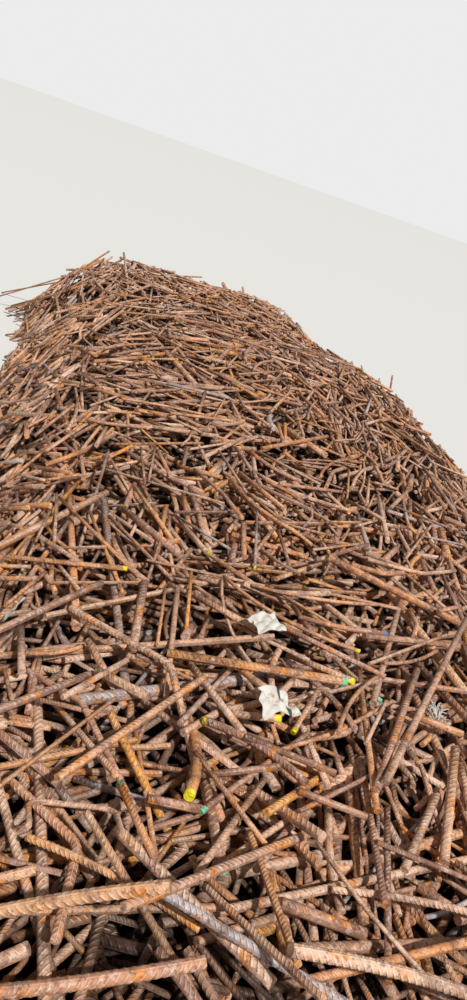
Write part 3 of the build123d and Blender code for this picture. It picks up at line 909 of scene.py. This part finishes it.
def inner_material():
    # Painted shade: the inner mass is coloured near black, as the packed bars deep inside the heap look in
    # their shadow
    material, nodes, shader = new_material("inner_shadow_rust")
    mottle = nodes.noise(nodes.object_place(), 9.0, 5.0)
    colour = nodes.ramp(mottle, ((0.3, (12, 7, 5)), (0.7, (26, 16, 11))))
    nodes.feed_all(shader, {"Base Color": colour, "Roughness": 1.0, "Specular IOR Level": 0.0})
    return material


def sack_material():
    """Pale torn sack with rust stains and smudges, and a dark stripe where its mesh is marked with one."""
    material, nodes, shader = new_material("torn_sack")
    where = nodes.object_place()
    stain, smudge = nodes.noise(where, 26.0, 4.0), nodes.noise(where, 70.0, 5.0)
    colour = nodes.patch(srgb(*SACK_COLOUR), stain, 0.56, 0.70, 0.8, (178, 112, 70))
    colour = nodes.patch(colour, smudge, 0.50, 0.72, 0.35, (150, 140, 126))
    colour = nodes.patch(colour, nodes.attribute("stripe"), 0.45, 0.55, 1.0, (62, 78, 74))
    nodes.feed_all(shader, {"Base Color": colour, "Roughness": 0.75})
    return material


def floor_material():
    material, nodes, shader = new_material("pale_floor")
    nodes.feed_all(shader, {"Base Color": srgb(*FLOOR_COLOUR), "Roughness": 0.9})
    return material


# Torn bits of sack that lie on the bars


def envelope(ground, spots, reach):
    """Height of a taut sheet over the map: nearly the highest cell within reach, averaged with neighbours."""
    steps = np.arange(-reach, reach + CELL / 2, CELL)
    around = np.stack(np.meshgrid(steps, steps), axis=-1).reshape(-1, 2)
    around = around[np.hypot(*around.T) <= reach]
    near = spots[..., None, :] + around
    heights = ground.top[ground.cells(near.reshape(-1, 2))].reshape(near.shape[:-1])
    high = np.quantile(heights, TAUT_SHARE, axis=-1)
    for _ in range(TAUT_ROUNDS):
        padded = np.pad(high, 1, mode="edge")
        high = (padded[:-2, 1:-1] + padded[2:, 1:-1] + padded[1:-1, :-2] + padded[1:-1, 2:] + high) / 5
    return high


def sack_scrap(name, x, y, width, length, turn, striped, ground, dice):
    """A crumpled bit of torn sack on the bars, and its area.

    It lies near the plane of the taut sheet over the bars and sags a little with it: height = plane +
    sag * (taut - plane), lifted over most of the taut sheet, + |sin| folds + a curled rim + a tilt.
    """
    across = np.linspace(-1, 1, SACK_POINTS)
    u, v = np.meshgrid(across, across, indexing="ij")
    around, phase = np.arctan2(v, u), dice.uniform(0, 6, 4)
    torn = TORN_SHARE
    for (waves, depth), shift in zip(TORN_WAVES, phase[:2]):
        torn = torn + depth * np.sin(waves * around + shift)
    flat = np.stack((u * width / 2, v * length / 2), axis=-1) * torn[..., None]
    cosine, sine = math.cos(turn), math.sin(turn)
    spots = flat @ np.array(((cosine, sine), (-sine, cosine))) + (x, y)
    folds = 0
    for (height, u_waves, v_waves), shift in zip(SACK_FOLDS, phase[2:]):
        folds = folds + height * np.abs(np.sin(u_waves * u + v_waves * v + shift))
    curl = SACK_CURL * np.maximum(np.hypot(u, v) - SACK_CURLS_FROM, 0)
    taut = envelope(ground, spots, SACK_REACH)
    sides = np.stack((u, v, np.ones_like(u)), axis=-1)
    plane = sides @ np.linalg.lstsq(sides.reshape(-1, 3), taut.ravel(), rcond=None)[0]
    lying = plane + SACK_SAG * (taut - plane)
    z = lying + np.quantile(taut - lying, SACK_CLEAR_SHARE) + folds + curl + SACK_TILT * (v + 1)
    top = np.concatenate((spots, z[..., None]), axis=-1)
    quads = grid_quads(np.arange(u.size).reshape(u.shape)).reshape(-1, 4)
    made = closed_skin(name, top, top - (0, 0, SACK_THICKNESS), quads)
    made.data.polygons.foreach_set("use_smooth", np.ones(len(made.data.polygons), bool))
    stripe = (np.abs(u - STRIPE_MIDDLE) < STRIPE_HALF_WIDTH).ravel() * float(striped)
    made.data.attributes.new("stripe", "FLOAT", "POINT").data.foreach_set("value", np.tile(stripe, 2))
    cells = np.cross(top[1:, :-1] - top[:-1, :-1], top[:-1, 1:] - top[:-1, :-1])
    return made, np.linalg.norm(cells, axis=-1).sum()


def fibre_tuft(ground, dice):
    """A frayed tuft: fibres that swing round as they leave its middle.

    Height of a fibre = that of a taut sheet over the bars + rise * sin(pi * share) + a small lift.
    """
    share = np.linspace(0, 1, FIBRE_POINTS)
    way = dice.uniform(0, 2 * math.pi, TUFT_FIBRES)
    reach = dice.uniform(*TUFT_REACHES, TUFT_FIBRES)
    rise = dice.uniform(*TUFT_RISES, TUFT_FIBRES)
    swing = dice.uniform(-TUFT_SWING, TUFT_SWING, TUFT_FIBRES)
    angle = way[:, None] + swing[:, None] * share
    flat = np.stack((np.cos(angle), np.sin(angle)), axis=-1) * (reach[:, None] * share)[..., None]
    flat = flat * TUFT_STRETCH + TUFT_PLACE
    z = envelope(ground, flat, TUFT_TAUT_REACH) + rise[:, None] * np.sin(math.pi * share) + TUFT_LIFT
    lines = np.concatenate((flat, z[..., None]), axis=-1)
    radii, unmarked = np.full(TUFT_FIBRES, FIBRE_RADIUS), np.zeros(TUFT_FIBRES)
    surface = Surface()
    add_plain(surface, lines, radii, FIBRE_SIDES, unmarked, lambda rings: np.zeros(rings.shape[:3]), unmarked)
    return surface.object("frayed_tuft")


def add_scraps(ground, dice):
    sack = sack_material()
    for name, x, y, width, length, turn, striped in SACK_SCRAPS:
        scrap, area = sack_scrap(name, x, y, width, length, math.radians(turn), striped, ground, dice)
        scrap.data.materials.append(sack)
        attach(scrap, "root")
    tuft = fibre_tuft(ground, dice)
    tuft.data.materials.append(sack)
    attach(tuft, "root")


# Making of the heap


def inner_mass(core):
    """A closed skin under the offcuts, at the height of under_shell at each grid point, over a flat base."""
    xs, ys = (np.arange(0, size, INNER_CELLS) for size in core.size)
    z = np.maximum(under_shell(core.top[np.ix_(xs, ys)]), INNER_LEAST)
    x, y = np.meshgrid(core.low[0] + xs * CELL, core.low[1] + ys * CELL, indexing="ij")
    top = np.stack((x, y, z), axis=-1)
    under = np.stack((x, y, np.full(z.shape, INNER_BASE)), axis=-1)
    quads = grid_quads(np.arange(z.size).reshape(z.shape))
    used = grid_quads(z > INNER_USED_FROM).any(axis=-1)
    return closed_skin("inner_mass", top, under, quads[used])


def shading(ground, core):
    """A function that tells how deep points lie among the bars round them.

    It gives 0 near the tops and 1 far below, and less near the foot, as light comes in from the side there.
    """
    tops, core_tops = ground.local_tops(), core.local_tops()

    def shade_of(points):
        deep = ground.between(tops, points[..., :2]) - points[..., 2]
        inside = np.clip(ground.between(core_tops, points[..., :2]) / RECESS_BELOW, LEAST_INSIDE, 1)
        return np.clip((deep - SHADE_STARTS) / SHADE_DEPTH, 0, 1) * inside

    return shade_of


def painted(lines, heights):
    """Paint number of each bar, and its line turned round where the painted end is its last.

    Each spot marks the end nearest to it among those that lie near the top of the heap.
    """
    paint = np.zeros(len(lines))
    lines = list(lines)
    ends = np.array([(line[0], line[-1]) for line in lines])
    buried = heights.top[heights.cells(ends.reshape(-1, 3)[:, :2])].reshape(-1, 2) - ends[:, :, 2]
    cost = BURIED_COST * np.maximum(buried - BURIED_SLACK, 0)
    for x, y, colour in PAINTED_ENDS:
        away = np.hypot(ends[:, :, 0] - x, ends[:, :, 1] - y) + cost
        away[paint > 0] = math.inf
        bar, end = np.unravel_index(away.argmin(), away.shape)
        if away[bar, end] < PAINT_REACH:
            paint[bar] = colour
            if end:
                lines[bar] = lines[bar][::-1]
    return paint, lines


def tones(dice, count):
    """Tone of each bar: mostly middling browns, with a few dark, yellow or grey ones."""
    return np.clip(dice.beta(*TONE_SPREAD, count) + dice.choice(GREY_STEPS, count, p=GREY_CHANCES), 0, 1)


def shaped(lines, shape, dice):
    """Straight lines as they are, or bowed or kinked level, to either side.

    With reach = |2 * share - 1|, a bow is sag * (1 - reach**2) sideways, and a kink is
    sag * (1 - hypot(reach, KINK_ROUNDING)).
    """
    if shape == STRAIGHT:
        return lines
    share = BOW_SHARES if shape == BOWED else KINK_SHARES
    reach = np.abs(2 * share - 1)
    bulge = 1 - reach**2 if shape == BOWED else 1 - np.hypot(reach, KINK_ROUNDING)
    run = lines[:, 1] - lines[:, 0]
    length = np.linalg.norm(run, axis=1)
    level = unit(np.cross(run, (0, 0, 1.0)))
    sag = length * dice.uniform(*SAG_SHARES, len(lines)) * dice.choice((-1, 1), len(lines))
    return lines[:, :1] + share[:, None] * run[:, None] + (sag[:, None] * bulge)[..., None] * level[:, None]


def draw_bars(bars, lines, paint, steel, shade_of, dice):
    """Draws the bars of the frame, one piece for each node, along lines that start at the painted ends."""
    eye = np.array(CAMERA_PLACE)
    surfaces = {name: Surface() for name in (*STRAIGHT_NODES, *BENT_NODES)}
    for (name, _, radius), line, colour, tone in zip(bars, lines, paint, tones(dice, len(bars))):
        marks = (np.array((tone,)), shade_of, np.array((colour,)))
        if np.linalg.norm(line.mean(axis=0) - eye) < RIBBED_WITHIN:
            add_ribbed(surfaces[name], line, radius, NEAR_SIDES, *marks)
        else:
            add_plain(surfaces[name], line[None], np.array((radius,)), FAR_SIDES, *marks)
    for name, surface in surfaces.items():
        piece = surface.object(name.replace("_bars", "_round_bars"))
        finish_piece(piece, steel, name)


def draw_offcuts(label, batches, steel, shade_of, dice):
    """Draws the small offcuts of one stretch as one piece, from batches of lines, radii and paint."""
    surface = Surface()
    sides = NEAR_OFFCUT_SIDES if label in NEAR_STRETCHES else OFFCUT_SIDES
    for lines, radii, paint in batches:
        shapes = dice.choice(3, len(radii), p=(1 - BENT_SHARE, BENT_SHARE / 2, BENT_SHARE / 2))
        tone = tones(dice, len(radii))
        for shape in (STRAIGHT, BOWED, KINKED):
            chosen = shapes == shape
            made = shaped(lines[chosen], shape, dice)
            add_plain(surface, made, radii[chosen], sides, tone[chosen], shade_of, paint[chosen])
    finish_piece(surface.object(f"{label}_small_offcuts"), steel, CORE_NODE)


def make_heap():
    groups = (rust_and_shade_group(), rib_group(), paint_group())
    bar_steel = bar_material("rusty_bar", groups, BAR_RIB_DEPTH)
    offcut_steel = bar_material("rusty_offcut", groups, OFFCUT_RIB_DEPTH)
    dice = np.random.default_rng(HEAP_SEED)
    core, bars = core_heights(), bars_of_frame()
    ground, buried, on_top = lay_offcuts(core.top, bars, dice)
    shade_of = shading(ground, core)
    top_lines = [line for lines, _ in on_top.values() for line in lines]
    paint, lines = painted([line for _, line, _ in bars] + top_lines, ground)
    draw_bars(bars, lines[: len(bars)], paint[: len(bars)], bar_steel, shade_of, dice)
    first = len(bars)
    for label, (own_lines, own_radii) in buried.items():
        radii = on_top[label][1]
        last = first + len(radii)
        shown = (np.array(lines[first:last]).reshape(-1, 2, 3), radii, paint[first:last])
        hidden = (own_lines, own_radii, np.zeros(len(own_radii)))
        draw_offcuts(label, (hidden, shown), offcut_steel, shade_of, dice)
        first = last
    add_scraps(ground, dice)
    finish_piece(inner_mass(core), inner_material(), CORE_NODE)


# Floor, light and camera


def make_stage():
    mesh = bpy.data.meshes.new("floor")
    reach = FLOOR_REACH
    corners = [(-reach, -reach, 0), (reach, -reach, 0), (reach, reach, 0), (-reach, reach, 0)]
    mesh.from_pydata(corners, [], [(0, 1, 2, 3)])
    floor = placed("floor", mesh)
    floor.data.materials.append(floor_material())
    sun = bpy.data.lights.new("key_light", "SUN")
    sun.energy = SUN_ENERGY
    sun.angle = SUN_WIDTH
    placed("key_light", sun).rotation_euler = SUN_TURN
    world = bpy.data.worlds.new("soft_fill")
    bpy.context.scene.world = world
    world.use_nodes = True
    nodes = Nodes(world.node_tree)
    seen = nodes.add("ShaderNodeLightPath", output="Is Camera Ray")
    inputs = {"Value": seen, "To Min": SURROUNDINGS_AS_LIGHT, "To Max": SURROUNDINGS_AS_SEEN}
    strength = nodes.add("ShaderNodeMapRange", inputs)
    background = world.node_tree.nodes["Background"].inputs
    nodes.feed_all(background, {"Color": srgb(*SURROUNDINGS_COLOUR), "Strength": strength})


def make_camera():
    camera = bpy.data.cameras.new("camera")
    camera.lens = CAMERA_LENS
    camera.clip_start = CAMERA_CLIP
    holder = placed("camera", camera)
    turn = Matrix.Rotation(math.radians(-CAMERA_HEADING), 4, "Z")
    turn @= Matrix.Rotation(math.radians(90 + CAMERA_PITCH), 4, "X")
    turn @= Matrix.Rotation(math.radians(CAMERA_ROLL), 4, "Z")
    holder.matrix_world = Matrix.Translation(CAMERA_PLACE) @ turn
    bpy.context.scene.camera = holder


make_camera()
make_heap()
make_stage()
bpy.context.scene.view_settings.view_transform = "Standard"
